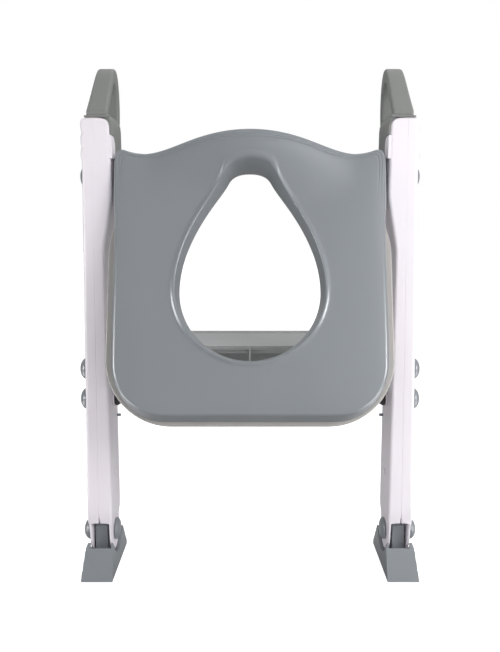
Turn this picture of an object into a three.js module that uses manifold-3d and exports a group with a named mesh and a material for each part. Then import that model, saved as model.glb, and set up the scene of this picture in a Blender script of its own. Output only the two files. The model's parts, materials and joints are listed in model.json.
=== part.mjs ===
// Toddler toilet ladder seat: two moulded side rails with grab handles and pivoting feet,
// a fold-down toilet seat hinged between their tops, and a folding step between them.
// Millimetres, +Z up, +X to the right, +Y towards the child's climbing side.
// The seat is stored hanging down on the -Y side and the step is stored level.

import * as THREE from 'three';
import { mergeVertices } from 'three/addons/utils/BufferGeometryUtils.js';
import Module from 'manifold-3d';

const wasm = await Module();
wasm.setup();

// ---------------------------------------------------------------- driving dimensions

const GAP = 0.3; // clearance between touching pieces
const THROUGH = { x0: 100, x1: 220 }; // a cut along x that passes right through a side rail
const WALL = 3; // moulded wall thickness
const CENTRE_Y = 21.2; // middle of the footprint, measured from the rails' rear faces

// side rails: y is measured from the rear face, the outer face splays towards the floor
const RAIL_DEPTH = 50;
const RAIL_TOP = 482;
const RAIL_OUTER_TOP = 164.5;
const RAIL_SPLAY = 0.0257; // outward drift of the outer face per mm of drop
const HOUSING_INNER = 137; // inner face of the wide hinge housing
const HOUSING_BOTTOM = 407;
const NARROW_TOP = 354;
const NARROW_INNER = 146.2;
const FORK_TOP = 62;
const FORK_INNER = 150.2;
const FORK_OUTER = 174;
const FORK_RADIUS = 22;
const SEAM_TOP = 153.8; // x of the parting line at the top of the rail
const SEAM_DRIFT = 0.0211;
const RIDGE_PITCH = 14;
const RIDGE_COUNT = 3;
const RIDGE_HEIGHT = 1.3;

// bolts
const HINGE = { y: 39, z: 427, radius: 5 };
const STEP_PIVOT = { y: 26, z: 226, radius: 4 };
const STEP_STOP = { y: 26, z: 193, radius: 4 };
const FOOT_PIVOT = { y: 26, z: 43, radius: 4 };
const BUMP_STOP = { y: 43, z: 169, radius: 1.6, tip: 143.5, root: 152 };
const RAIL_SCREWS = [{ y: 25, z: 330 }, { y: 25, z: 110 }];
const RUNNING_GAP = 0.3;
const HINGE_BOSS = { y: 20, z: 448, radius: 14, height: 1.8 };
const SCREW_BOSS_RADIUS = 5;
const SCREW = { core: 1.6, pilot: 1.9, clearance: 2.1, head: 3.6, length: 17 };
const KNOB_RADIUS = 12;
const KNOB_HEIGHT = 9.5;
const NUT_RADIUS = 8;
const NUT_HEIGHT = 4.6;
const COLLAR_RADIUS = 9;

// handles
const HANDLE_BASE_Z = 482.4;
const HANDLE_TOP_Z = 535;
const HANDLE_BASE = { inner: 139.4, outer: 159.2 };
const HANDLE_TOP = { inner: 137.2, outer: 153 };

// feet
const SOLE_REAR = -15;
const SOLE_FRONT = 75;
const SOLE_INNER = 147.2;
const SOLE_OUTER = 181.2;
const SHOE_TOP_OUTER = 178;
const SHOE_TOP = 36;
const SOLE_PAD = 3;
const TONGUE = { inner: 155, outer: 169.2, radius: 12 };

// seat, in its own frame: x across, y forwards to the hinge, z up from the hinge axis
const SEAT_TILT = 72; // degrees from level to the stored hanging pose
const SEAT_TOP = 44.3;
const SEAT_SKIRT = 20;
const SEAT_HALF_WIDTH = 131;
const SEAT_REAR = 250;
const SEAT_CORNER = 51;
const BASE_OUTLINE = { narrow: 134, wide: 139.8, rear: 257, corner: 59, narrowUntil: 38, wideFrom: 66 };
const BASE_THICKNESS = 4.5;
const GUARD_HEIGHT = 24;
const GUARD_HALF_WIDTH = 96;
const OPENING_RADIUS = 67;
const OPENING_CENTRE = 129;
const CHEEK = { inner: 128.5, outer: 134, radius: 15 };
const SEAT_SCREWS = [[104, -34], [-104, -34], [104, -222], [-104, -222]];
const SEAT_PADS = [[100, -70], [-100, -70], [88, -205], [-88, -205]];
const PAD = { halfWidth: 9, halfLength: 21, thickness: 5 };

// step
const STEP_HALF_WIDTH = 145.8;
const STEP_TOP = 250;
const STEP_REAR = 28;
const STEP_NOSE = 122.8;
const STEP_PLATE = 4;
const STEP_RIB = 2.2;
const STEP_WALL = 3.4;
const STEP_CORNER = 14;
const STEP_SKIRT = 44;

// ---------------------------------------------------------------- materials

const plastic = (color, roughness) => new THREE.MeshStandardMaterial({ color, roughness, metalness: 0 });
const whitePlastic = () => plastic(0xeeebf1, 0.42);
const greyPlastic = () => plastic(0x8b9094, 0.4);
const handlePlastic = () => plastic(0x868887, 0.5);
const stepPlastic = () => plastic(0x9a9d9e, 0.5);
const darkPlastic = () => plastic(0x2b2c2e, 0.45);
const rubber = () => plastic(0x6f7478, 0.85);
const steel = () => new THREE.MeshStandardMaterial({ color: 0xb8babc, roughness: 0.35, metalness: 1 });

// ---------------------------------------------------------------- solids

function toSolid(geometry) {
  const bare = geometry.clone();
  bare.deleteAttribute('normal');
  bare.deleteAttribute('uv');
  const merged = mergeVertices(bare, 1e-4);
  const corners = Array.from(merged.index.array);
  const kept = [];
  for (let i = 0; i < corners.length; i += 3) {
    const [a, b, c] = corners.slice(i, i + 3);
    if (a !== b && b !== c && c !== a) kept.push(a, b, c);
  }
  return new wasm.Manifold(new wasm.Mesh({
    numProp: 3,
    vertProperties: new Float32Array(merged.attributes.position.array),
    triVerts: new Uint32Array(kept),
  }));
}

function toGeometry(solid) {
  const mesh = solid.getMesh();
  const geometry = new THREE.BufferGeometry();
  geometry.setAttribute('position', new THREE.BufferAttribute(new Float32Array(mesh.vertProperties), 3));
  geometry.setIndex(new THREE.BufferAttribute(new Uint32Array(mesh.triVerts), 1));
  geometry.computeVertexNormals();
  return geometry;
}

function shapeOf(points) {
  return new THREE.Shape(points.map(([a, b]) => new THREE.Vector2(a, b)));
}

function extrude(shape, depth, curveSegments = 6) {
  const { shape: outer, holes } = shape.extractPoints(curveSegments);
  if (THREE.ShapeUtils.isClockWise(outer)) outer.reverse();
  const wound = new THREE.Shape(outer);
  wound.holes = holes.map((hole) => new THREE.Path(hole));
  return new THREE.ExtrudeGeometry(wound, { depth, bevelEnabled: false });
}

// outline in (y, z), extruded between two x positions
function slabX(shape, x0, x1, curveSegments) {
  const geometry = extrude(shape, x1 - x0, curveSegments);
  geometry.applyMatrix4(new THREE.Matrix4().makeBasis(
    new THREE.Vector3(0, 1, 0), new THREE.Vector3(0, 0, 1), new THREE.Vector3(1, 0, 0)));
  geometry.translate(x0, 0, 0);
  return toSolid(geometry);
}

// outline in (x, z), extruded between two y positions
function slabY(shape, y0, y1, curveSegments) {
  const geometry = extrude(shape, y1 - y0, curveSegments);
  geometry.rotateX(Math.PI / 2);
  geometry.translate(0, y1, 0);
  return toSolid(geometry);
}

// outline in (x, y), extruded between two z positions
function slabZ(shape, z0, z1, curveSegments) {
  const geometry = extrude(shape, z1 - z0, curveSegments);
  geometry.translate(0, 0, z0);
  return toSolid(geometry);
}

function block(x0, x1, y0, y1, z0, z1) {
  const geometry = new THREE.BoxGeometry(x1 - x0, y1 - y0, z1 - z0);
  geometry.translate((x0 + x1) / 2, (y0 + y1) / 2, (z0 + z1) / 2);
  return toSolid(geometry);
}

function rodX(radius, x0, x1, y, z, sides = 16) {
  const geometry = new THREE.CylinderGeometry(radius, radius, x1 - x0, sides);
  geometry.rotateZ(-Math.PI / 2);
  geometry.translate((x0 + x1) / 2, y, z);
  return toSolid(geometry);
}

function rodZ(radius, x, y, z0, z1, sides = 12) {
  const geometry = new THREE.CylinderGeometry(radius, radius, z1 - z0, sides);
  geometry.rotateX(Math.PI / 2);
  geometry.translate(x, y, (z0 + z1) / 2);
  return toSolid(geometry);
}

// domed cap with a blind socket in its flat back, its dome pointing along +x or -x
function domeCap(radius, height, socket, x, y, z, direction) {
  const rim = height * 0.25;
  const profile = [
    [0, socket.depth], [socket.radius, socket.depth], [socket.radius, 0], [radius, 0], [radius, rim]];
  const steps = 3;
  for (let i = 1; i <= steps; i += 1) {
    const angle = (Math.PI / 2) * (i / steps);
    profile.push([i === steps ? 0 : radius * Math.cos(angle), rim + (height - rim) * Math.sin(angle)]);
  }
  const geometry = new THREE.LatheGeometry(profile.map(([r, h]) => new THREE.Vector2(r, h)), 16);
  geometry.rotateZ(direction > 0 ? -Math.PI / 2 : Math.PI / 2);
  geometry.translate(x, y, z);
  return toSolid(geometry);
}

function mirrorX(solid) {
  return solid.scale([-1, 1, 1]);
}

// ---------------------------------------------------------------- side rail

const railOuterX = (z) => RAIL_OUTER_TOP + (RAIL_TOP - z) * RAIL_SPLAY;
const seamX = (z) => SEAM_TOP + (RAIL_TOP - z) * SEAM_DRIFT;

function railInnerX(z) {
  if (z >= HOUSING_BOTTOM) return HOUSING_INNER;
  if (z >= NARROW_TOP) {
    return THREE.MathUtils.mapLinear(z, HOUSING_BOTTOM, NARROW_TOP, HOUSING_INNER, NARROW_INNER);
  }
  return THREE.MathUtils.mapLinear(z, NARROW_TOP, FORK_TOP, NARROW_INNER, FORK_INNER - 1.5);
}

// front outline of the rail, moved inwards by inset; the fork end is left open when inset
function railFront(inset) {
  const bottom = inset > 0 ? -10 : FOOT_PIVOT.z - FORK_RADIUS;
  const top = RAIL_TOP - inset;
  const points = [
    [FORK_INNER + inset, bottom],
    [FORK_OUTER - inset, bottom],
    [FORK_OUTER - inset, FORK_TOP - 3],
    [railOuterX(FORK_TOP) - inset, FORK_TOP],
  ];
  const ridgeBase = RAIL_TOP - RIDGE_COUNT * RIDGE_PITCH;
  points.push([railOuterX(ridgeBase) - inset, ridgeBase]);
  if (inset === 0) {
    const stepsPerRidge = 4;
    for (let i = 1; i < RIDGE_COUNT * stepsPerRidge; i += 1) {
      const z = ridgeBase + (i * RIDGE_PITCH) / stepsPerRidge;
      const bulge = RIDGE_HEIGHT * Math.abs(Math.sin((Math.PI * i) / stepsPerRidge));
      points.push([railOuterX(z) + bulge, z]);
    }
  }
  points.push([railOuterX(top) - inset, top]);
  const corner = 8 - inset;
  points.push([HOUSING_INNER + inset + corner, top]);
  points.push([HOUSING_INNER + inset + corner * 0.3, top - corner * 0.3]);
  points.push([HOUSING_INNER + inset, top - corner]);
  points.push([HOUSING_INNER + inset, HOUSING_BOTTOM]);
  points.push([NARROW_INNER + inset, NARROW_TOP]);
  points.push([railInnerX(FORK_TOP) + inset, FORK_TOP]);
  points.push([FORK_INNER + inset, FORK_TOP - 3]);
  return shapeOf(points);
}

// side outline of the rail: square top with eased corners, round fork end about the foot pivot
function railSide(inset) {
  const shape = new THREE.Shape();
  const top = RAIL_TOP + 1;
  if (inset > 0) {
    shape.moveTo(inset, -10);
    shape.lineTo(RAIL_DEPTH - inset, -10);
    shape.lineTo(RAIL_DEPTH - inset, top);
    shape.lineTo(inset, top);
    return shape;
  }
  const shoulder = FORK_TOP + 14;
  shape.moveTo(0, top);
  shape.lineTo(0, shoulder);
  shape.lineTo(FOOT_PIVOT.y - FORK_RADIUS, FOOT_PIVOT.z);
  shape.absarc(FOOT_PIVOT.y, FOOT_PIVOT.z, FORK_RADIUS, Math.PI, 2 * Math.PI, false);
  shape.lineTo(RAIL_DEPTH, shoulder);
  shape.lineTo(RAIL_DEPTH, top);
  return shape;
}

function railHalf(region) {
  const past = 5;
  let rail = slabY(railFront(0), 0, RAIL_DEPTH).intersect(slabX(railSide(0), THROUGH.x0, THROUGH.x1));
  const inside = slabY(railFront(WALL), -past, RAIL_DEPTH + past);
  rail = rail.subtract(inside.intersect(slabX(railSide(WALL), THROUGH.x0, THROUGH.x1)));
  rail = rail.subtract(block(FORK_INNER + WALL, FORK_OUTER - WALL, -past, RAIL_DEPTH + past, 0, FORK_TOP - 3));
  return rail.intersect(slabY(shapeOf(region), -past, RAIL_DEPTH + past));
}

function drillRail(half, screwRadius) {
  let drilled = half;
  for (const bolt of [HINGE, STEP_PIVOT, STEP_STOP, FOOT_PIVOT]) {
    drilled = drilled.subtract(rodX(bolt.radius + RUNNING_GAP, THROUGH.x0, THROUGH.x1, bolt.y, bolt.z));
  }
  for (const screw of RAIL_SCREWS) {
    const end = railOuterX(screw.z) - WALL;
    drilled = drilled.subtract(rodX(screwRadius, THROUGH.x0, end, screw.y, screw.z, 12));
  }
  return drilled;
}

// the outer (side = 1) or inner (side = -1) half of the rail's front, up to the parting line
function besideSeam(side) {
  const low = -20;
  const high = 600;
  const far = side > 0 ? THROUGH.x1 : THROUGH.x0;
  const edge = (z) => seamX(z) + (side * GAP) / 2;
  return [[edge(low), low], [far, low], [far, high], [edge(high), high]];
}

function railOuterShell() {
  let half = railHalf(besideSeam(1));
  for (const screw of RAIL_SCREWS) {
    const start = railInnerX(screw.z) + WALL + GAP;
    half = half.add(rodX(SCREW_BOSS_RADIUS, start, railOuterX(screw.z) - 1, screw.y, screw.z));
  }
  return drillRail(half, SCREW.pilot);
}

function railInnerShell() {
  const bossX = HOUSING_INNER - HINGE_BOSS.height;
  const boss = rodX(HINGE_BOSS.radius, bossX, HOUSING_INNER + 1, HINGE_BOSS.y, HINGE_BOSS.z, 24);
  const half = drillRail(railHalf(besideSeam(-1)).add(boss), SCREW.clearance);
  const pegHoleEnd = BUMP_STOP.root + 0.2;
  const pegHole = rodX(BUMP_STOP.radius + RUNNING_GAP, THROUGH.x0, pegHoleEnd, BUMP_STOP.y, BUMP_STOP.z, 12);
  return half.subtract(pegHole);
}

function railScrew(screw) {
  const face = railInnerX(screw.z);
  const head = rodX(SCREW.head, face - 2, face - GAP - 0.1, screw.y, screw.z, 14);
  return head.add(rodX(SCREW.core, face - 1, face + SCREW.length, screw.y, screw.z, 12));
}

// ---------------------------------------------------------------- grab handle

function handleLoop() {
  const outline = new THREE.Shape();
  outline.moveTo(0.5, HANDLE_BASE_Z);
  outline.lineTo(0.5, HANDLE_BASE_Z + 5);
  outline.lineTo(30, 527);
  outline.quadraticCurveTo(35, HANDLE_TOP_Z, 44, HANDLE_TOP_Z);
  outline.bezierCurveTo(58, HANDLE_TOP_Z, 70, 512, 70.5, 488);
  outline.bezierCurveTo(70.5, 470, 64, 452, RAIL_DEPTH + GAP, 432);
  outline.lineTo(RAIL_DEPTH + GAP, HANDLE_BASE_Z);
  const hole = new THREE.Path();
  hole.moveTo(15, HANDLE_BASE_Z + 6);
  hole.lineTo(33.5, 513);
  hole.quadraticCurveTo(38, 519, 43, 518.5);
  hole.bezierCurveTo(52, 517, 59, 503, 59.5, 488);
  hole.bezierCurveTo(59.5, 476, 57.5, 468, 54, 458);
  hole.lineTo(54, HANDLE_BASE_Z + 6);
  outline.holes.push(hole);
  const loop = slabX(outline, -1, 1, 8);
  return loop.warp((point) => {
    const height = (point[2] - HANDLE_BASE_Z) / (HANDLE_TOP_Z - HANDLE_BASE_Z);
    const inner = THREE.MathUtils.lerp(HANDLE_BASE.inner, HANDLE_TOP.inner, height);
    const outer = THREE.MathUtils.lerp(HANDLE_BASE.outer, HANDLE_TOP.outer, height);
    point[0] = point[0] < 0 ? inner : outer;
  });
}

// ---------------------------------------------------------------- bolts, knobs and caps

function boltWithKnob(bolt, innerEnd) {
  const face = bolt === FOOT_PIVOT ? FORK_OUTER : railOuterX(bolt.z);
  const back = face + 0.7;
  const socket = { radius: bolt.radius + RUNNING_GAP, depth: 4 };
  return {
    bolt: rodX(bolt.radius, innerEnd, back + socket.depth - 0.5, bolt.y, bolt.z),
    knob: domeCap(KNOB_RADIUS, KNOB_HEIGHT, socket, back, bolt.y, bolt.z, 1),
  };
}

function nutCap(bolt, outerX, radius = NUT_RADIUS, height = NUT_HEIGHT) {
  const socket = { radius: bolt.radius + RUNNING_GAP, depth: height * 0.6 };
  return domeCap(radius, height, socket, outerX, bolt.y, bolt.z, -1);
}

function ringX(radius, hole, x0, x1, y, z) {
  return rodX(radius, x0, x1, y, z).subtract(rodX(hole, x0 - 1, x1 + 1, y, z));
}

// ---------------------------------------------------------------- foot

function shoeBody() {
  const rearTop = -2;
  const side = new THREE.Shape();
  side.moveTo(SOLE_REAR + 1, SOLE_PAD + GAP);
  side.lineTo(SOLE_FRONT, SOLE_PAD + GAP);
  side.lineTo(SOLE_FRONT - 2, 10);
  side.lineTo(SOLE_FRONT - 8, 18);
  side.lineTo(SOLE_FRONT - 11, 26);
  side.lineTo(FOOT_PIVOT.y + 27, SHOE_TOP - 2);
  side.lineTo(FOOT_PIVOT.y + 25, SHOE_TOP - 4);
  const cradle = FORK_RADIUS + 3;
  side.absarc(FOOT_PIVOT.y, FOOT_PIVOT.z, cradle, -0.42, -Math.PI + 0.28, true);
  side.lineTo(rearTop, SHOE_TOP);
  const section = shapeOf([
    [SOLE_INNER, 0], [SOLE_OUTER, 0], [SHOE_TOP_OUTER, SHOE_TOP + 10], [SOLE_INNER, SHOE_TOP + 10]]);
  let shoe = slabX(side, THROUGH.x0, THROUGH.x1, 10).intersect(slabY(section, -40, 100));
  shoe = shoe.subtract(slabX(cradlePocket(), FORK_INNER - 1, FORK_OUTER + 1, 10));
  const tongue = new THREE.Shape();
  tongue.moveTo(FOOT_PIVOT.y - 18, SOLE_PAD + 2);
  tongue.lineTo(FOOT_PIVOT.y + 18, SOLE_PAD + 2);
  tongue.lineTo(FOOT_PIVOT.y + TONGUE.radius, FOOT_PIVOT.z);
  tongue.absarc(FOOT_PIVOT.y, FOOT_PIVOT.z, TONGUE.radius, 0, Math.PI, false);
  shoe = shoe.add(slabX(tongue, TONGUE.inner, TONGUE.outer, 8));
  const pinHole = rodX(FOOT_PIVOT.radius + RUNNING_GAP, THROUGH.x0, THROUGH.x1, FOOT_PIVOT.y, FOOT_PIVOT.z);
  return shoe.subtract(pinHole);
}

// room inside the shoe for the rail's fork to swing about the pivot
function cradlePocket() {
  const shape = new THREE.Shape();
  shape.moveTo(FOOT_PIVOT.y + FORK_RADIUS + 4, FOOT_PIVOT.z + 20);
  shape.lineTo(FOOT_PIVOT.y - FORK_RADIUS - 4, FOOT_PIVOT.z + 20);
  shape.lineTo(FOOT_PIVOT.y - FORK_RADIUS - 1.5, FOOT_PIVOT.z);
  shape.absarc(FOOT_PIVOT.y, FOOT_PIVOT.z, FORK_RADIUS + 1.5, Math.PI, 2 * Math.PI, false);
  return shape;
}

function solePad() {
  return block(SOLE_INNER + 0.4, SOLE_OUTER - 0.2, SOLE_REAR, SOLE_FRONT, 0, SOLE_PAD);
}

// ---------------------------------------------------------------- seat

// teardrop opening: a round rear end and flanks that close to a narrow front tip
function openingPoints(grow) {
  const path = new THREE.Path();
  path.moveTo(0, -5.5);
  path.quadraticCurveTo(12, -5.5, 17, -14);
  path.bezierCurveTo(44, -50, OPENING_RADIUS, -88, OPENING_RADIUS, -OPENING_CENTRE);
  path.absarc(0, -OPENING_CENTRE, OPENING_RADIUS, 0, -Math.PI / 2, true);
  return bothHalves(path, grow);
}

// moves each point of a clockwise loop outwards by a distance
function offsetLoop(loop, distance) {
  const count = loop.length;
  return loop.map((point, i) => {
    const before = loop[(i + count - 1) % count];
    const after = loop[(i + 1) % count];
    const along = after.clone().sub(before).normalize();
    return new THREE.Vector2(point.x - along.y * distance, point.y + along.x * distance);
  });
}

// front edge of the seat: a raised middle and small round shoulders
function seatFront(w) {
  const path = new THREE.Path();
  path.moveTo(0, 21);
  path.bezierCurveTo(48, 21, 62, 8, 98, 8);
  path.quadraticCurveTo(w - 21, 8.5, w - 12, 12);
  path.bezierCurveTo(w - 4, 15, w, 8, w, -4);
  return path;
}

function closeRear(path, w, rear, corner) {
  path.lineTo(w, -rear + corner);
  path.absarc(w - corner, -rear + corner, corner, 0, -Math.PI / 2, true);
  path.lineTo(0, -rear);
  return path;
}

function seatOutline(grow) {
  return bothHalves(closeRear(seatFront(SEAT_HALF_WIDTH), SEAT_HALF_WIDTH, SEAT_REAR, SEAT_CORNER), grow);
}

// the base plate fits between the hinge housings at the front and is wider behind them
function baseOutline() {
  const { narrow, wide, rear, corner, narrowUntil, wideFrom } = BASE_OUTLINE;
  const path = seatFront(narrow);
  path.lineTo(narrow, -narrowUntil);
  path.bezierCurveTo(narrow, -narrowUntil - 12, wide, -wideFrom + 12, wide, -wideFrom);
  return bothHalves(closeRear(path, wide, rear, corner), 0);
}

// mirrors the right half of an outline and moves it outwards
function bothHalves(path, grow) {
  const half = path.getPoints(6);
  const kept = half.filter((point, i) => i === 0 || point.distanceTo(half[i - 1]) > 0.01);
  const mirrored = kept.slice(1, -1).reverse().map((point) => new THREE.Vector2(-point.x, point.y));
  return offsetLoop([...kept, ...mirrored], grow);
}

function plate(outline, hole, z0, z1) {
  const shape = new THREE.Shape(outline);
  if (hole) shape.holes.push(new THREE.Path(hole));
  return slabZ(shape, z0, z1);
}

const SHELL_BOTTOM = SEAT_TOP - SEAT_SKIRT;
const BASE_TOP = SHELL_BOTTOM - GAP;
const BASE_BOTTOM = BASE_TOP - BASE_THICKNESS;

function splashGuard() {
  const steps = 16;
  const points = [[GUARD_HALF_WIDTH, SEAT_TOP - 2], [-GUARD_HALF_WIDTH, SEAT_TOP - 2]];
  for (let i = 1; i < steps; i += 1) {
    const x = -GUARD_HALF_WIDTH + (2 * GUARD_HALF_WIDTH * i) / steps;
    const rise = Math.cos((Math.PI / 2) * (x / GUARD_HALF_WIDTH)) ** 2;
    points.push([x, SEAT_TOP - 0.5 + (GUARD_HEIGHT + 0.5) * rise]);
  }
  const guard = slabY(shapeOf(points.reverse()), -4.5, 30);
  return guard.intersect(plate(seatOutline(0), null, 0, SEAT_TOP + GUARD_HEIGHT + 5));
}

function seatTopShell() {
  let shell = plate(seatOutline(0), openingPoints(0), SHELL_BOTTOM, SEAT_TOP).add(splashGuard());
  const cavity = plate(seatOutline(-WALL), openingPoints(WALL), SHELL_BOTTOM - 1, SEAT_TOP - 4);
  shell = shell.subtract(cavity);
  for (const [x, y] of SEAT_SCREWS) {
    shell = shell.add(rodZ(5, x, y, SHELL_BOTTOM, SEAT_TOP - 3, 14));
    shell = shell.subtract(rodZ(2, x, y, SHELL_BOTTOM - 1, SHELL_BOTTOM + 12));
  }
  return shell;
}

function seatBase() {
  let base = plate(baseOutline(), openingPoints(1.5), BASE_BOTTOM, BASE_TOP);
  for (const [x, y] of SEAT_SCREWS) {
    base = base.subtract(rodZ(2.2, x, y, BASE_BOTTOM - 1, BASE_TOP + 1));
  }
  const lug = new THREE.Shape();
  lug.moveTo(12, BASE_TOP - 1);
  lug.lineTo(-52, BASE_TOP - 1);
  lug.lineTo(-14, -6);
  lug.absarc(0, 0, CHEEK.radius, Math.PI + 0.4, 2 * Math.PI, false);
  for (const [x0, x1] of [[CHEEK.inner, CHEEK.outer - 0.2], [-CHEEK.outer + 0.2, -CHEEK.inner]]) {
    base = base.add(slabX(lug, x0, x1, 10));
  }
  return base.subtract(rodX(HINGE.radius + RUNNING_GAP, -150, 150, 0, 0));
}

function seatScrew([x, y]) {
  const head = rodZ(3.8, x, y, BASE_BOTTOM - 2.3, BASE_BOTTOM - GAP, 14);
  return head.add(rodZ(1.6, x, y, BASE_BOTTOM - 1, SHELL_BOTTOM + 10));
}

function seatPad([x, y]) {
  const straight = PAD.halfLength - PAD.halfWidth;
  const shape = new THREE.Shape();
  shape.moveTo(x - PAD.halfWidth, y - straight);
  shape.absarc(x, y - straight, PAD.halfWidth, Math.PI, 2 * Math.PI, false);
  shape.lineTo(x + PAD.halfWidth, y + straight);
  shape.absarc(x, y + straight, PAD.halfWidth, 0, Math.PI, false);
  return slabZ(shape, BASE_BOTTOM - GAP - PAD.thickness, BASE_BOTTOM - GAP, 6);
}

// ---------------------------------------------------------------- step

function stepTread() {
  const w = STEP_HALF_WIDTH;
  const top = new THREE.Shape();
  top.moveTo(-w, STEP_REAR);
  top.lineTo(w, STEP_REAR);
  top.lineTo(w, STEP_NOSE - STEP_CORNER);
  top.absarc(w - STEP_CORNER, STEP_NOSE - STEP_CORNER, STEP_CORNER, 0, Math.PI / 2, false);
  top.lineTo(-w + STEP_CORNER, STEP_NOSE);
  top.absarc(-w + STEP_CORNER, STEP_NOSE - STEP_CORNER, STEP_CORNER, Math.PI / 2, Math.PI, false);
  let tread = slabZ(top, STEP_TOP - STEP_SKIRT, STEP_TOP, 5);
  const inside = new THREE.Shape();
  inside.moveTo(-w + STEP_WALL, STEP_REAR - 5);
  inside.lineTo(w - STEP_WALL, STEP_REAR - 5);
  inside.lineTo(w - STEP_WALL, STEP_NOSE - STEP_CORNER);
  inside.absarc(w - STEP_CORNER, STEP_NOSE - STEP_CORNER, STEP_CORNER - STEP_WALL, 0, Math.PI / 2, false);
  inside.lineTo(-w + STEP_CORNER, STEP_NOSE - STEP_WALL);
  inside.absarc(
    -w + STEP_CORNER, STEP_NOSE - STEP_CORNER, STEP_CORNER - STEP_WALL, Math.PI / 2, Math.PI, false);
  tread = tread.subtract(slabZ(inside, STEP_TOP - STEP_SKIRT - 1, STEP_TOP - STEP_PLATE, 5));
  tread = tread.add(block(-w + 1, w - 1, STEP_REAR, STEP_REAR + STEP_RIB, STEP_TOP - 8.5, STEP_TOP - 2));
  for (const x of [-w / 2, 0, w / 2]) {
    const rib = shapeOf([
      [STEP_REAR, STEP_TOP - 2], [STEP_REAR, STEP_TOP - 22], [STEP_NOSE - 2, STEP_TOP - 30],
      [STEP_NOSE - 2, STEP_TOP - 2]]);
    tread = tread.add(slabX(rib, x - STEP_RIB / 2, x + STEP_RIB / 2));
  }
  tread = tread.add(block(-w + 1, w - 1, 76, 76 + STEP_RIB, STEP_TOP - 14, STEP_TOP - 2));
  const heel = STEP_STOP.y + COLLAR_RADIUS + 0.6;
  const cheek = shapeOf([
    [STEP_REAR, STEP_TOP - 1], [STEP_PIVOT.y, STEP_PIVOT.z + 12.5], [STEP_PIVOT.y, STEP_PIVOT.z - 12.5],
    [heel, STEP_PIVOT.z - 14], [heel, 184], [48, 184], [66, STEP_TOP - STEP_SKIRT],
    [STEP_NOSE - 14, STEP_TOP - STEP_SKIRT], [STEP_NOSE - 14, STEP_TOP - 1]]);
  for (const side of [-1, 1]) {
    const x0 = side > 0 ? w - STEP_WALL : -w;
    let plateSide = slabX(cheek, x0, x0 + STEP_WALL);
    plateSide = plateSide.add(rodX(13, x0, x0 + STEP_WALL, STEP_PIVOT.y, STEP_PIVOT.z, 24));
    tread = tread.add(plateSide);
  }
  return tread.subtract(rodX(STEP_PIVOT.radius + RUNNING_GAP, -160, 160, STEP_PIVOT.y, STEP_PIVOT.z));
}

// ---------------------------------------------------------------- assembly

const chair = new THREE.Group();
chair.position.y = -CENTRE_Y;

function addPiece(parent, name, solid, material) {
  const mesh = new THREE.Mesh(toGeometry(solid), material);
  mesh.name = name;
  parent.add(mesh);
}

// one piece on the right at +x and its mirror twin on the left
function addPair(parent, name, solid, material) {
  addPiece(parent, `${name}_right`, solid, material());
  addPiece(parent, `${name}_left`, mirrorX(solid), material());
}

addPair(chair, 'rail_outer_shell', railOuterShell(), whitePlastic);
addPair(chair, 'rail_inner_shell', railInnerShell(), whitePlastic);
addPair(chair, 'rail_screw_upper', railScrew(RAIL_SCREWS[0]), steel);
addPair(chair, 'rail_screw_lower', railScrew(RAIL_SCREWS[1]), steel);
addPair(chair, 'handle', handleLoop(), handlePlastic);

const hingeBolt = boltWithKnob(HINGE, CHEEK.inner - 5.8);
addPair(chair, 'hinge_bolt', hingeBolt.bolt, steel);
addPair(chair, 'hinge_knob', hingeBolt.knob, greyPlastic);
addPair(chair, 'hinge_nut_cap', nutCap(HINGE, CHEEK.inner - GAP, 9, 10), darkPlastic);
addPair(chair, 'hinge_washer', ringX(10, HINGE.radius + RUNNING_GAP, CHEEK.outer + 0.3, HOUSING_INNER - 0.6,
  HINGE.y, HINGE.z), handlePlastic);

const cheekInner = STEP_HALF_WIDTH - STEP_WALL;
const pivotBolt = boltWithKnob(STEP_PIVOT, cheekInner - 2.7);
addPair(chair, 'step_pivot_bolt', pivotBolt.bolt, steel);
addPair(chair, 'step_pivot_knob', pivotBolt.knob, greyPlastic);
addPair(chair, 'step_pivot_cap', nutCap(STEP_PIVOT, cheekInner - GAP), darkPlastic);

const stopBolt = boltWithKnob(STEP_STOP, cheekInner - 2.4);
addPair(chair, 'step_stop_bolt', stopBolt.bolt, steel);
addPair(chair, 'step_stop_knob', stopBolt.knob, greyPlastic);
addPair(chair, 'step_stop_collar', ringX(COLLAR_RADIUS, STEP_STOP.radius + RUNNING_GAP, cheekInner + 0.4,
  railInnerX(STEP_STOP.z) - 0.4, STEP_STOP.y, STEP_STOP.z), whitePlastic);
addPair(chair, 'step_stop_cap', nutCap(STEP_STOP, cheekInner), darkPlastic);
addPair(chair, 'bump_stop', rodX(BUMP_STOP.radius, BUMP_STOP.tip, BUMP_STOP.root,
  BUMP_STOP.y, BUMP_STOP.z, 12), greyPlastic);

const footPin = boltWithKnob(FOOT_PIVOT, FORK_INNER - 3);
addPair(chair, 'foot_pivot_pin', footPin.bolt, steel);
addPair(chair, 'foot_outer_cap', footPin.knob, greyPlastic);
addPair(chair, 'foot_inner_cap', nutCap(FOOT_PIVOT, FORK_INNER - 0.7, KNOB_RADIUS, 4.8), greyPlastic);
addPair(chair, 'foot_shoe', shoeBody(), greyPlastic);
addPair(chair, 'foot_sole_pad', solePad(), rubber);

const seat = new THREE.Group();
seat.position.set(0, HINGE.y, HINGE.z);
seat.rotation.x = THREE.MathUtils.degToRad(SEAT_TILT);
chair.add(seat);
addPiece(seat, 'seat_top_shell', seatTopShell(), greyPlastic());
addPiece(seat, 'seat_base', seatBase(), greyPlastic());
SEAT_SCREWS.forEach((place, i) => addPiece(seat, `seat_screw_${i + 1}`, seatScrew(place), steel()));
SEAT_PADS.forEach((place, i) => addPiece(seat, `seat_pad_${i + 1}`, seatPad(place), rubber()));

addPiece(chair, 'step_tread', stepTread(), stepPlastic());

export default chair;
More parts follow.
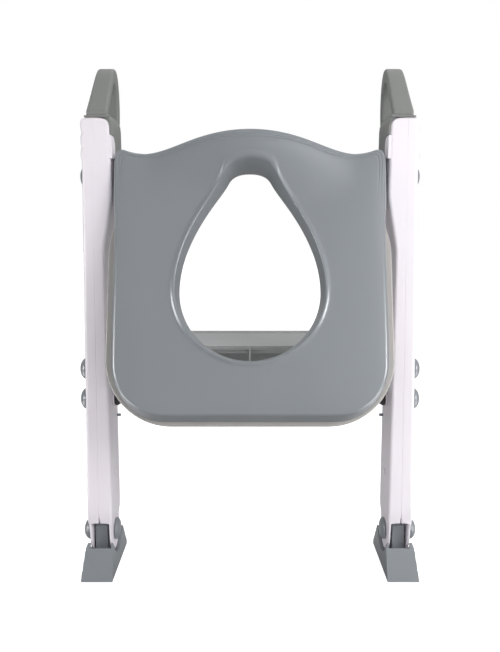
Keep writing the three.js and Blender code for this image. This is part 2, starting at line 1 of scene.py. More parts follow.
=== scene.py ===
# Toddler toilet ladder seat: two white side rails with grey grab handles and pivoting feet,
# a grey toilet seat hinged between the rail tops and one grey folding step.
# Shapes are written in millimetres. In rail space y = 0 is the rails' rear face and z = 0 the
# floor; in seat space the origin is on the hinge axis and z points out of the sitting face.

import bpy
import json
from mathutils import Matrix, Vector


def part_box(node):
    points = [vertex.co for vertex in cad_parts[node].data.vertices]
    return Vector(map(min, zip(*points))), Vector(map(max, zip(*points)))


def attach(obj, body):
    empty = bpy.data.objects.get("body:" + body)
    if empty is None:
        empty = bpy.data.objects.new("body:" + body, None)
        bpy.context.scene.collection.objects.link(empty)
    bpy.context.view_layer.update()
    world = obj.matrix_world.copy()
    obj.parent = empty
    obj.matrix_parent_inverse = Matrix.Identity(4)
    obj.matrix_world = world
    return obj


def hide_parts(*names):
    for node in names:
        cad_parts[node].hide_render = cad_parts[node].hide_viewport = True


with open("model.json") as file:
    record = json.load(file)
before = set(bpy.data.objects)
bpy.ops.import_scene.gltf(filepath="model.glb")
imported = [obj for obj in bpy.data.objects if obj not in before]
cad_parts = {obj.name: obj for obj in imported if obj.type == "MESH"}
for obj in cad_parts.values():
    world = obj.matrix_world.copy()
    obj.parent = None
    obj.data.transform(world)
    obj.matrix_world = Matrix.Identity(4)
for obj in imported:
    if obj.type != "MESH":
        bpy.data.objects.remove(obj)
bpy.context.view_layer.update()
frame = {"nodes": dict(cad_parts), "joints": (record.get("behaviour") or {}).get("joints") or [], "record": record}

import json
import math

import bmesh
import bpy
from mathutils import Matrix, Vector

# ---- places taken from the frame

MM = 0.001
rail_low, rail_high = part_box("rail_outer_shell_right")
inner_low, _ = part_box("rail_inner_shell_right")
handle_low, handle_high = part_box("handle_right")
shoe_low, shoe_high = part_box("foot_shoe_right")
_, step_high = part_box("step_tread")
joint_place = {joint["name"]: Vector(joint["pos_m"]) for joint in frame["joints"]}

RAIL_SPACE = Matrix.Translation((0, rail_low.y, 0)) @ Matrix.Scale(MM, 4)
SEAT_TILT = 72
SEAT_SPACE = (Matrix.Translation(joint_place["seat_hinge"])
              @ Matrix.Rotation(math.radians(SEAT_TILT), 4, "X") @ Matrix.Scale(MM, 4))


def axis_of(joint):
    """The y and z of a joint's axis in rail space."""
    place = joint_place[joint]
    return (place.y - rail_low.y) / MM, place.z / MM


def middle_of(node):
    """The y and z of the middle of a CAD node in rail space."""
    low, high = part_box(node)
    return ((low.y + high.y) / 2 - rail_low.y) / MM, (low.z + high.z) / 2 / MM


HINGE = axis_of("seat_hinge")
STEP_PIVOT = axis_of("step_fold")
FOOT_PIVOT = axis_of("foot_right_pivot")
STEP_STOP = middle_of("step_stop_bolt_right")
BUMP_STOP = middle_of("bump_stop_right")

# ---- driving dimensions

GAP = 0.3
COLUMNS = 140
ROUND = 32
RAIL_DEPTH = (rail_high.y - rail_low.y) / MM
RAIL_TOP = rail_high.z / MM
RAIL_OUTER_TOP = 164.5
RAIL_SPLAY = 0.0257
SEAM_TOP = 153.8
SEAM_DRIFT = 0.0211
HOUSING_INNER = 137
HOUSING_BOTTOM = 407
NARROW_TOP = 354
NARROW_INNER = 146.2
FORK_TOP = 60
FORK_INNER = 150.2
FORK_OUTER = 174
FORK_WALL = 3
FORK_RADIUS = 22
RAIL_FILLET = 4
RAIL_EDGE = 3.2
RAIL_CORNER = 9
RAIL_BOSS = (8, 454, 11)
ARCH_RISE = 1.6
SCALLOP_PITCH = 14
SCALLOP_COUNT = 3
SCALLOP_DEPTH = 1.3

SEAT_TOP = 44.3
SEAT_SKIRT = 20
SEAT_HALF_WIDTH = 131.4
SEAT_FRONT_HALF_WIDTH = 133.4
SEAT_REAR = 250
SEAT_CORNER = 51
REAR_DRAFT = 2.6
BASE_THICKNESS = 4.5
BASE_NARROW = 131.8
BASE_WIDE = 139.8
BASE_REAR = 257
BASE_CORNER = 65
GUARD_HEIGHT = 24.5
GUARD_SPAN = 103
GUARD_SHARPNESS = 1.25
BEAD_HEIGHT = 1.7
BEAD_WIDTH = 2.3
FRONT_LINES = (2.0, 5.4)
OPENING_WIDEST = (68.4, -127)
HINGE_BORE = 5.3
STEP_BORE = 4.3

# ---- outlines


def bezier(*controls, steps=12):
    """Points along a Bezier curve, without its first point."""
    points = []
    for i in range(1, steps + 1):
        left = [Vector(control) for control in controls]
        while len(left) > 1:
            left = [a.lerp(b, i / steps) for a, b in zip(left, left[1:])]
        points.append(left[0])
    return points


def arc(centre, radius_x, radius_y, start, end, steps=16):
    """Points along an elliptical arc given in degrees, without its first point."""
    points = []
    for i in range(1, steps + 1):
        angle = math.radians(start + (end - start) * i / steps)
        across, up = radius_x * math.cos(angle), radius_y * math.sin(angle)
        points.append(Vector((centre[0] + across, centre[1] + up)))
    return points


def circle(centre, radius, count=ROUND):
    turns = [2 * math.pi * i / count for i in range(count)]
    return [(centre[0] + radius * math.cos(a), centre[1] + radius * math.sin(a)) for a in turns]


def soften(corners, radius=1.0, steps=4, closed=True):
    """Rounds each corner of an outline; a corner's third value is its own radius."""
    points = []
    count = len(corners)
    for i, corner in enumerate(corners):
        here = Vector(corner[:2])
        if not closed and i in (0, count - 1):
            points.append(here)
            continue
        reach = corner[2] if len(corner) > 2 else radius
        before = Vector(corners[i - 1][:2]) - here
        after = Vector(corners[(i + 1) % count][:2]) - here
        start = here + before.normalized() * min(reach, before.length * 0.48)
        end = here + after.normalized() * min(reach, after.length * 0.48)
        points.append(start)
        points += bezier(start, here, end, steps=steps)
    return points


def interpolate(table, at):
    """Value at a place in a list of (place, value) pairs sorted by place."""
    if at <= table[0][0]:
        return table[0][1]
    for (a, value_a), (b, value_b) in zip(table, table[1:]):
        if at <= b:
            return value_a + (value_b - value_a) * (at - a) / max(b - a, 1e-9)
    return table[-1][1]


def smoothstep(value):
    """Eases a value from 0 to 1 and keeps it between them."""
    value = min(max(value, 0.0), 1.0)
    return value * value * (3 - 2 * value)


# ---- meshes


def link_mesh(name, shape):
    """Turns a bmesh into an object, with merged points and faces that point out."""
    bmesh.ops.remove_doubles(shape, verts=shape.verts, dist=1e-6)
    bmesh.ops.dissolve_degenerate(shape, edges=shape.edges, dist=1e-7)
    bmesh.ops.recalc_face_normals(shape, faces=shape.faces)
    mesh = bpy.data.meshes.new(name)
    shape.to_mesh(mesh)
    shape.free()
    piece = bpy.data.objects.new(name, mesh)
    bpy.context.scene.collection.objects.link(piece)
    return piece


def skin(name, rings, space=RAIL_SPACE, ends=True):
    """A skin through rings of equal length: with flat ends, or closed on itself like a tyre."""
    shape = bmesh.new()
    rows = [[shape.verts.new(space @ Vector(point)) for point in ring] for ring in rings]
    pairs = list(zip(rows, rows[1:])) + ([] if ends else [(rows[-1], rows[0])])
    for low, high in pairs:
        for i in range(len(low)):
            shape.faces.new((low[i - 1], low[i], high[i], high[i - 1]))
    if ends:
        shape.faces.new(rows[0])
        shape.faces.new(rows[-1])
    return link_mesh(name, shape)


def lathe(name, profile, y, z, segments=56):
    """A turned piece about a line along x, from a profile of (x, radius) points."""
    rings = [[(x, u, v) for u, v in circle((y, z), max(radius, 1e-3), segments)]
             for x, radius in profile]
    return skin(name, rings)


PLANES = {
    "x": lambda u, v, w: (w, u, v),
    "y": lambda u, v, w: (u, w, v),
    "z": lambda u, v, w: (u, v, w),
}


def prism(name, loops, start, end, along, space=RAIL_SPACE, bevel=0.0, segments=3):
    """An outline, with any holes as further loops, extruded along an axis with eased edges."""
    place = PLANES[along]
    shape = bmesh.new()
    edges = []
    for loop in loops:
        corners = [shape.verts.new(place(u, v, start)) for u, v in loop]
        edges += [shape.edges.new((corners[i - 1], corners[i])) for i in range(len(corners))]
    filled = bmesh.ops.triangle_fill(shape, use_beauty=True, edges=edges)["geom"]
    cap = [item for item in filled if isinstance(item, bmesh.types.BMFace)]
    grown = bmesh.ops.extrude_face_region(shape, geom=cap, use_keep_orig=True)["geom"]
    moved = [item for item in grown if isinstance(item, bmesh.types.BMVert)]
    bmesh.ops.translate(shape, verts=moved, vec=Vector(place(0, 0, end - start)))
    bmesh.ops.recalc_face_normals(shape, faces=shape.faces)
    if bevel:
        ease_edges(shape, bevel, segments)
    bmesh.ops.transform(shape, matrix=space, verts=shape.verts)
    return link_mesh(name, shape)


def ease_edges(shape, width, segments=3, limit=35):
    """Bevels every edge that is sharper than a limit in degrees."""
    sharp = [edge for edge in shape.edges
             if edge.is_manifold and edge.calc_face_angle(0) > math.radians(limit)]
    bmesh.ops.bevel(shape, geom=sharp, offset=width, offset_type="OFFSET", segments=segments,
                    profile=0.5, affect="EDGES", clamp_overlap=True)


def combine(piece, tool, operation):
    """Cuts or joins a piece with a tool, which is used up."""
    modifier = piece.modifiers.new("combine", "BOOLEAN")
    modifier.object = tool
    modifier.operation = operation
    modifier.solver = "EXACT"
    apply_modifiers(piece)
    bpy.data.objects.remove(tool)
    return piece


def apply_modifiers(piece):
    """Replaces a piece's mesh with what its modifiers make of it."""
    evaluated = piece.evaluated_get(bpy.context.evaluated_depsgraph_get())
    mesh = bpy.data.meshes.new_from_object(evaluated)
    piece.modifiers.clear()
    piece.data = mesh


def move_points(piece, change, space=RAIL_SPACE):
    """Moves every point of a piece by a function of its place in millimetres."""
    back = space.inverted()
    for vertex in piece.data.vertices:
        vertex.co = space @ Vector(change(back @ vertex.co))


# ---- materials


def linear(colour):
    """A colour given as 0-255 display values, as the shader needs it."""
    values = [channel / 255 for channel in colour]
    return [v / 12.92 if v <= 0.04045 else ((v + 0.055) / 1.055) ** 2.4 for v in values] + [1.0]


def add_node(tree, kind, inputs=(), **settings):
    """Adds a shader node; an input given as a socket is linked, any other is set."""
    node = tree.nodes.new(kind)
    for name, value in settings.items():
        setattr(node, name, value)
    for name, value in dict(inputs).items():
        if isinstance(value, bpy.types.NodeSocket):
            tree.links.new(value, node.inputs[name])
        else:
            node.inputs[name].default_value = value
    return node


def noise(tree, place, scale, detail=2.0, stretch=(1, 1, 1)):
    """A noise pattern in object space, its features 1/scale metres across."""
    mapped = add_node(tree, "ShaderNodeMapping", {"Vector": place, "Scale": stretch})
    pattern = add_node(tree, "ShaderNodeTexNoise",
                       {"Vector": mapped.outputs["Vector"], "Scale": scale, "Detail": detail})
    return pattern.outputs["Fac"]


def ranged(tree, value, low, high, to_low, to_high):
    node = add_node(tree, "ShaderNodeMapRange", {
        "Value": value, "From Min": low, "From Max": high, "To Min": to_low, "To Max": to_high})
    return node.outputs["Result"]


def mixed(tree, factor, first, second):
    node = tree.nodes.new("ShaderNodeMix")
    node.data_type = "RGBA"
    for socket, value in ((node.inputs[0], factor), (node.inputs[6], first), (node.inputs[7], second)):
        if isinstance(value, bpy.types.NodeSocket):
            tree.links.new(value, socket)
        else:
            socket.default_value = value
    return node.outputs[2]


def moulded(name, colour, roughness, tint, grain=0.12, grain_size=2200, wear=0.2, coat=0.0,
            metallic=0.0, brushed=False, blotch=0.02):
    """Moulded plastic, rubber or turned steel: faint mottling and flow streaks, a fine grain,
    rubbed lighter edges and a roughness that wanders."""
    material = bpy.data.materials.new(name)
    material.use_nodes = True
    tree = material.node_tree
    tree.nodes.clear()
    place = add_node(tree, "ShaderNodeTexCoord").outputs["Object"]

    mottle = noise(tree, place, 9, 4)
    streaks = noise(tree, place, 30, 3, (1, 1, 0.12))
    darker = [channel * 0.97 for channel in linear(colour)[:3]] + [1.0]
    base = mixed(tree, ranged(tree, mottle, 0.35, 0.65, 0, 1), darker, linear(colour))
    base = mixed(tree, ranged(tree, streaks, 0.45, 0.75, 0, 0.18), base, linear(tint))

    edge = add_node(tree, "ShaderNodeNewGeometry").outputs["Pointiness"]
    rub = noise(tree, place, 45, 2)
    worn = add_node(tree, "ShaderNodeMath", {
        0: ranged(tree, edge, 0.52, 0.68, 0, wear),
        1: ranged(tree, rub, 0.3, 0.7, 0.3, 1)}, operation="MULTIPLY")
    paler = [min(1.0, channel * 1.25 + 0.02) for channel in linear(colour)[:3]] + [1.0]
    base = mixed(tree, worn.outputs[0], base, paler)

    speckle = noise(tree, place, 70, 3)
    rough = ranged(tree, speckle, 0.3, 0.7, roughness - blotch, roughness + blotch)
    stretch = (0.05, 1, 1) if brushed else (1, 1, 1)
    texture = noise(tree, place, grain_size, 2, stretch)
    ripple = noise(tree, place, 22, 1)
    fine = add_node(tree, "ShaderNodeBump", {"Strength": grain, "Distance": 0.0002, "Height": texture})
    bump = add_node(tree, "ShaderNodeBump", {"Strength": 0.10, "Distance": 0.002, "Height": ripple,
                                             "Normal": fine.outputs["Normal"]})
    shader = add_node(tree, "ShaderNodeBsdfPrincipled", {
        "Base Color": base, "Roughness": rough, "Normal": bump.outputs["Normal"], "Metallic": metallic,
        "Coat Weight": coat, "Coat Roughness": 0.25})
    add_node(tree, "ShaderNodeOutputMaterial", {"Surface": shader.outputs["BSDF"]})
    return material


MATERIALS = {
    "white_plastic": moulded("white_plastic", (246, 240, 247), 0.42, (249, 241, 246), wear=0.3),
    "grey_plastic": moulded("grey_plastic", (137, 142, 147), 0.28, (144, 148, 151),
                            coat=0.3, grain=0.04, blotch=0.004),
    "handle_plastic": moulded("handle_plastic", (134, 136, 134), 0.48, (141, 142, 138), grain=0.25),
    "step_plastic": moulded("step_plastic", (164, 167, 167), 0.5, (170, 170, 166), grain=0.3),
    "dark_plastic": moulded("dark_plastic", (38, 38, 40), 0.3, (48, 46, 47), coat=0.3),
    "steel": moulded("steel", (186, 188, 190), 0.3, (170, 172, 176), metallic=1.0, brushed=True),
    "rubber": moulded("rubber", (104, 109, 113), 0.8, (94, 99, 104), grain=0.6, grain_size=1400),
}

# the seat's base plate is grey plastic too, but given a paler, warmer grey than its shell
PALE_PLASTIC = moulded("pale_plastic", (176, 173, 170), 0.35, (184, 179, 174), coat=0.2)

# ---- settling a piece


def clean(piece):
    """Closes up the faces without area that cutting and joining leave behind."""
    shape = bmesh.new()
    shape.from_mesh(piece.data)
    bmesh.ops.triangulate(shape, faces=[face for face in shape.faces if len(face.verts) > 4])
    bmesh.ops.dissolve_degenerate(shape, edges=shape.edges, dist=2e-6)
    bmesh.ops.remove_doubles(shape, verts=shape.verts, dist=2e-6)
    shape.to_mesh(piece.data)
    shape.free()


def settle(piece, name, body, slot, nodes, angle=32):
    """Names a finished piece, gives it its finish and its body, and hides the CAD it stands for."""
    piece.name = name
    clean(piece)
    piece.data.materials.clear()
    piece.data.materials.append(MATERIALS[slot])
    piece.data.shade_smooth()
    piece.data.set_sharp_from_angle(angle=math.radians(angle))
    weighted = piece.modifiers.new("weighted", "WEIGHTED_NORMAL")
    weighted.keep_sharp = True
    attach(piece, body)
    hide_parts(*nodes)


def settle_pair(piece, name, body, slot, nodes):
    """Settles a right-hand piece and its mirror twin; {side} in a body's name is filled in."""
    twin = piece.copy()
    twin.data = piece.data.copy()
    twin.data.transform(Matrix.Scale(-1, 4, (1, 0, 0)))
    twin.data.flip_normals()
    bpy.context.scene.collection.objects.link(twin)
    for side, half in (("right", piece), ("left", twin)):
        replaced = [f"{node}_{side}" for node in nodes]
        settle(half, f"{name}_{side}", body.format(side=side), slot, replaced)


# ---- side rails


def rail_outer_x(z):
    """The rail's outer face: it leans out downwards, with prongs below and scallops above."""
    drift = RAIL_OUTER_TOP + (RAIL_TOP - z) * RAIL_SPLAY
    prong = smoothstep((FORK_TOP + 2 - z) / 6)
    drift += (FORK_OUTER - drift) * prong
    above = z - (RAIL_TOP - SCALLOP_COUNT * SCALLOP_PITCH)
    if above > 0:
        drift += SCALLOP_DEPTH * abs(math.sin(math.pi * above / SCALLOP_PITCH))
    return drift


def seam_x(z):
    """The seam between the rail's two shells."""
    return SEAM_TOP + (RAIL_TOP - z) * SEAM_DRIFT


RAIL_INNER_LINE = [(point.y, point.x) for point in soften([
    (FORK_INNER, 20), (FORK_INNER, FORK_TOP - 4), (FORK_INNER - 1.5, FORK_TOP),
    (NARROW_INNER, NARROW_TOP), (HOUSING_INNER, HOUSING_BOTTOM), (HOUSING_INNER, RAIL_TOP)],
    radius=7, steps=8, closed=False)]


def rail_inner_x(z):
    """The rail's inner face, from the fork to the hinge housing's round top corner."""
    x = interpolate(RAIL_INNER_LINE, z)
    into = z - (RAIL_TOP - RAIL_CORNER)
    if into > 0:
        x += RAIL_CORNER - math.sqrt(max(RAIL_CORNER ** 2 - into ** 2, 0))
    return x


def fork_arch(z):
    """1 between the fork's prongs, 0 above the slot, round in between."""
    if z >= FORK_TOP:
        return 0.0
    if z <= FORK_TOP - ARCH_RISE:
        return 1.0
    return math.sqrt(1 - ((z - FORK_TOP + ARCH_RISE) / ARCH_RISE) ** 2)


def rail_y_range(z):
    """Rear and front of the rail: straight above, a round end about the foot pivot below."""
    y, pivot_z = FOOT_PIVOT
    if z < pivot_z:
        reach = math.sqrt(max(FORK_RADIUS ** 2 - (pivot_z - z) ** 2, 0.04))
        return y - reach, y + reach
    ease = smoothstep((FORK_TOP + 16 - z) / (FORK_TOP + 16 - pivot_z))
    return ease * (y - FORK_RADIUS), RAIL_DEPTH - ease * (RAIL_DEPTH - y - FORK_RADIUS)


def rail_levels():
    """Heights of the rail's rings, closer together where its outline turns."""
    levels = [FOOT_PIVOT[1] - FORK_RADIUS * math.cos(math.radians(4 + 5 * i)) for i in range(18)]
    levels += [FORK_TOP - 14, FORK_TOP - 10]
    levels += [FORK_TOP - ARCH_RISE + ARCH_RISE * math.sin(math.radians(10 * i)) for i in range(10)]
    levels += [FORK_TOP - 6, FORK_TOP - 3]
    levels += [FORK_TOP + 2 + 2 * i for i in range(9)]
    levels += [84 + 9 * i for i in range(29)]
    levels += [z for z, _ in RAIL_INNER_LINE if NARROW_TOP - 12 < z < HOUSING_BOTTOM + 12]
    levels += [HOUSING_BOTTOM + 12 + 6 * i for i in range(4)]
    scallops = RAIL_TOP - SCALLOP_COUNT * SCALLOP_PITCH
    levels += [scallops + 1.4 * i for i in range(28)]
    return sorted(set(round(z, 3) for z in levels))


def rail_rings(section_x):
    """Rings of a rail shell from the fork's end to its top, whose edge is rounded."""
    rings = []
    stations = [(z, 0.0) for z in rail_levels() if z < RAIL_TOP - RAIL_EDGE]
    for i in range(9):
        turn = math.radians(90 * i / 8)
        height = RAIL_TOP - RAIL_EDGE + RAIL_EDGE * math.sin(turn)
        stations.append((height, RAIL_EDGE * (1 - math.cos(turn))))
    for z, inset in stations:
        x0, x1, fillet0, fillet1 = section_x(z, inset)
        y0, y1 = rail_y_range(z)
        ring = soften([(x0, y0 + inset, fillet0), (x1, y0 + inset, fillet1),
                       (x1, y1 - inset, fillet1), (x0, y1 - inset, fillet0)], steps=6)
        rings.append([(point.x, point.y, z) for point in ring])
    return rings


def seam_gap(z):
    """The two shells part a little just above the fork."""
    return 0.06 + 1.1 * smoothstep((FORK_TOP + 10 - z) / 9)


def seam_ease(z):
    """The seam shows as a groove at the top of the rail and from below the housing to the fork."""
    middle = smoothstep((z - 330) / 30) * smoothstep((470 - z) / 12)
    return 0.5 - 0.35 * middle + 1.3 * smoothstep((FORK_TOP + 11 - z) / 9)


def outer_section(z, inset):
    """The outer shell's x range and corner radii at one height."""
    seam = seam_x(z)
    x0 = seam + seam_gap(z) / 2 + (FORK_OUTER - FORK_WALL - seam) * fork_arch(z)
    return x0, rail_outer_x(z) - inset, seam_ease(z), RAIL_FILLET


def inner_section(z, inset):
    """The inner shell's x range and corner radii at one height."""
    seam = seam_x(z)
    x1 = seam - seam_gap(z) / 2 - (seam - FORK_INNER - FORK_WALL) * fork_arch(z)
    return min(rail_inner_x(z) + inset, x1 - 2), x1, RAIL_FILLET * 0.8, seam_ease(z)


def make_rails():
    """The two shells of each rail, with the inner shell's hinge boss, and their screws."""
    outer = skin("outer", rail_rings(outer_section))
    settle_pair(outer, "side_rail_outer", "frame", "white_plastic", ["rail_outer_shell"])
    inner = skin("inner", rail_rings(inner_section))
    boss_y, boss_z, boss_radius = RAIL_BOSS
    face = inner_low.x / MM + 0.2
    outline = [(0.4, boss_z + boss_radius), (0.4, boss_z - boss_radius)]
    outline += arc((boss_y, boss_z), boss_radius, boss_radius, -90, 90, 24)
    boss = prism("boss", [outline], face, HOUSING_INNER + 4, "x", bevel=1.6, segments=4)
    combine(inner, boss, "UNION")
    settle_pair(inner, "side_rail_inner", "frame", "white_plastic", ["rail_inner_shell"])
    for place in ("upper", "lower"):
        make_rail_screw(place)


def make_rail_screw(place):
    """A screw through both rail shells, its head under a flush white plug."""
    node = f"rail_screw_{place}"
    low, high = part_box(f"{node}_right")
    y, z = middle_of(f"{node}_right")
    face = low.x / MM
    head, core = 3.6, 1.6
    profile = soften([(face + 0.2, 0), (face + 0.2, head - 0.5, 0.2), (face + 0.5, head, 0.3),
                      (face + 1.6, head, 0.2), (face + 1.6, core, 0.2), (high.x / MM, core, 0.4),
                      (high.x / MM, 0)], steps=3, closed=False)
    screw = lathe(node, profile, y, z, ROUND)
    settle_pair(screw, f"assembly_screw_{place}", "frame", "white_plastic", [node])


# ---- grab handles


class Path:
    """A line of points measured by its length."""

    def __init__(self, points):
        self.points = [Vector(point) for point in points]
        self.lengths = [0.0]
        for a, b in zip(self.points, self.points[1:]):
            self.lengths.append(self.lengths[-1] + (b - a).length)

    def at(self, share):
        """Point at a share of the length."""
        length = share * self.lengths[-1]
        for i in range(1, len(self.points)):
            if length <= self.lengths[i] + 1e-9:
                step = (length - self.lengths[i - 1]) / (self.lengths[i] - self.lengths[i - 1])
                return self.points[i - 1].lerp(self.points[i], step)
        return self.points[-1].copy()

    def place(self, share):
        """Point and outward normal at a share of half an outline that is mirrored about x = 0."""
        reach = 0.006
        before = self.at(max(share - reach, 0))
        after = self.at(min(share + reach, 1))
        if share < reach:
            before = Vector((-after.x, after.y))
        if share > 1 - reach:
            after = Vector((-before.x, before.y))
        along = (after - before).normalized()
        return self.at(share), Vector((-along.y, along.x))


HANDLE_WIDTH = 20
HANDLE_TAIL = 432.5
HANDLE_ROUNDING = 3.0


def handle_outlines(base, top, front):
    """Pairs of points on the loop's outer line and on its hole: near bar, bow, far bar, tail, floor."""
    floor = base + 2.5
    near = ([(2.2, base), (2.2, base + 3.4), (0.7, base + 4.4), (0.7, base + 5)]
            + bezier((0.7, base + 5), (28, 524.5), (32, top), (44, top), steps=40))
    near_hole = ([(10, floor)] + bezier((10, floor), (32, 514), steps=30)
                 + bezier((32, 514), (37, 521), (43, 520)))
    bow = [(44, top)] + bezier((44, top), (58, top), (70, 512), (70.5, 488), steps=30)
    bow_hole = [(43, 520)] + bezier((43, 520), (53, 518), (61, 503), (61.5, 488), steps=30)
    far = [(70.5, 488)] + bezier((70.5, 488), (70.5, 470), (64, 452), (front, HANDLE_TAIL), steps=30)
    far_hole = ([(61.5, 488)] + bezier((61.5, 488), (61.5, 476), (59, 468), (54, 462))
                + [(54, floor)])
    tail, tail_hole = [(front, HANDLE_TAIL), (front, base)], [(54, floor), (50, floor)]
    sill, sill_hole = [(front, base), (2.2, base)], [(50, floor), (10, floor)]
    pairs = []
    for outer, hole, steps in ((near, near_hole, 30), (bow, bow_hole, 18), (far, far_hole, 18),
                               (tail, tail_hole, 8), (sill, sill_hole, 16)):
        pairs += matched(Path(outer), Path(hole), steps)
    return pairs


def make_handles():
    """A closed loop on each rail, which leans in upwards, with a collar and a side plate."""
    base = RAIL_TOP + 0.4
    top = handle_high.z / MM
    rings = []
    for edge, inside in handle_outlines(base, top, RAIL_DEPTH + GAP):
        depth = (inside - edge).length
        across = (inside - edge).normalized()
        section = soften([(0, 0), (depth, 0), (depth, HANDLE_WIDTH), (0, HANDLE_WIDTH)],
                         radius=min(HANDLE_ROUNDING, depth * 0.45), steps=4)
        rings.append([(x, edge.x + across.x * d, edge.y + across.y * d) for d, x in section])
    loop = skin("handle", rings, ends=False)
    collar = soften([(1.2, base), (9, base), (9, base + 1.6), (1.2, base + 1.6)], radius=0.6, steps=3)
    combine(loop, prism("collar", [collar], -1.6, HANDLE_WIDTH + 1.4, "x", bevel=0.5), "UNION")
    base_inner, base_outer = handle_low.x / MM + 2.2, 160.2
    top_inner, top_outer = handle_low.x / MM, 154.2

    def lean(point):
        height = (point.z - base) / (top - base)
        inner = base_inner + (top_inner - base_inner) * height
        outer = base_outer + (top_outer - base_outer) * height
        return inner + (outer - inner) * point.x / HANDLE_WIDTH, point.y, point.z

    move_points(loop, lean)
    combine(loop, handle_strap(), "UNION")
    settle_pair(loop, "grab_handle", "frame", "handle_plastic", ["handle"])


def matched(outer, inner, steps):
    """Pairs of points at equal shares of two paths, without the first pair."""
    return [(outer.at(i / steps), inner.at(i / steps)) for i in range(1, steps + 1)]


def handle_strap():
    """The thin side plate of a handle, which laps the rail's inner face down to the hinge boss."""
    foot, side, thickness, play = 436, 466, 1.4, 0.25
    corner_foot = RAIL_TOP - RAIL_CORNER
    heights = [foot + (corner_foot - foot) * i / 3 for i in range(4)]
    heights += [corner_foot + RAIL_CORNER * math.sin(math.radians(11 * i)) for i in range(1, 8)]
    lapped = [Vector((rail_inner_x(z) - play, z)) for z in heights]
    outside = [Vector((x - thickness * min(1, (RAIL_TOP + 2 - z) / 6), z)) for x, z in lapped]
    top = RAIL_TOP + 1.0
    section = lapped + [(lapped[-1].x + 2, top), (outside[-1].x + 0.5, top)] + outside[::-1]
    strap = prism("strap", [section], 0.9, RAIL_DEPTH + 1.5, "y", bevel=0.25, segments=2)
    web_x = outside[3].x + 0.3
    web = lapped[3:] + [(lapped[-1].x + 3, RAIL_TOP + 2.7), (handle_low.x / MM + 2.3, RAIL_TOP + 3.6),
                        (web_x, RAIL_TOP - 4), (web_x, outside[3].y)]
    combine(strap, prism("web", [web], 2.4, RAIL_DEPTH + 1.2, "y"), "UNION")
    boss_y, boss_z, boss_radius = RAIL_BOSS
    clear = boss_radius + 1.2
    opening = [(-5, foot - 9), (-5, side), (boss_y - 3.2, side)]
    opening += arc((boss_y, boss_z), clear, clear, 105, -50, 20)
    opening += [(boss_y + 8, foot - 9)]
    around_boss = prism("cut", [opening], HOUSING_INNER - 8, HOUSING_INNER + 4, "x")
    return combine(strap, around_boss, "DIFFERENCE")


# ---- bolts, knobs and caps


def knob_profile(back, height, radius):
    """A domed knob with a rolled rim and a fine groove round it."""
    return soften([(back, 0), (back, radius - 0.6, 0.4), (back + 0.7, radius, 0.6),
                   (back + height * 0.22, radius, 0.3), (back + height * 0.25, radius - 0.5, 0.3),
                   (back + height * 0.29, radius - 0.5, 0.3), (back + height * 0.32, radius - 0.1, 0.4),
                   (back + height * 0.62, radius * 0.88, 2.5), (back + height * 0.93, radius * 0.55, 3),
                   (back + height, 0)], steps=5, closed=False)


# the dark cap at the step stop laps this far over its collar, which is as much shorter
CAP_LAP = 2.6

# the rails' three bolts: name, CAD node of the inner cap, axis
BOLTS = (
    ("hinge", "hinge_nut_cap", HINGE),
    ("step_pivot", "step_pivot_cap", STEP_PIVOT),
    ("step_stop", "step_stop_cap", STEP_STOP),
)
KNOBS = [(f"{bolt}_knob", f"{bolt}_knob_cap", axis) for bolt, _, axis in BOLTS]
KNOBS += [("foot_outer_cap", "foot_outer_dome", FOOT_PIVOT)]
CAPS = [(cap, f"{bolt}_inner_cap", "dark_plastic", axis) for bolt, cap, axis in BOLTS]
CAPS += [("foot_inner_cap", "foot_inner_dome", "grey_plastic", FOOT_PIVOT)]
SHAFTS = [(f"{bolt}_bolt", f"{bolt}_shaft", axis) for bolt, _, axis in BOLTS]
SHAFTS += [("foot_pivot_pin", "foot_pivot_shaft", FOOT_PIVOT)]
SPACERS = (
    ("hinge_washer", "hinge_spacer", "handle_plastic", HINGE, HINGE_BORE),
    ("step_stop_collar", "step_stop_ring", "white_plastic", STEP_STOP, STEP_BORE),
)


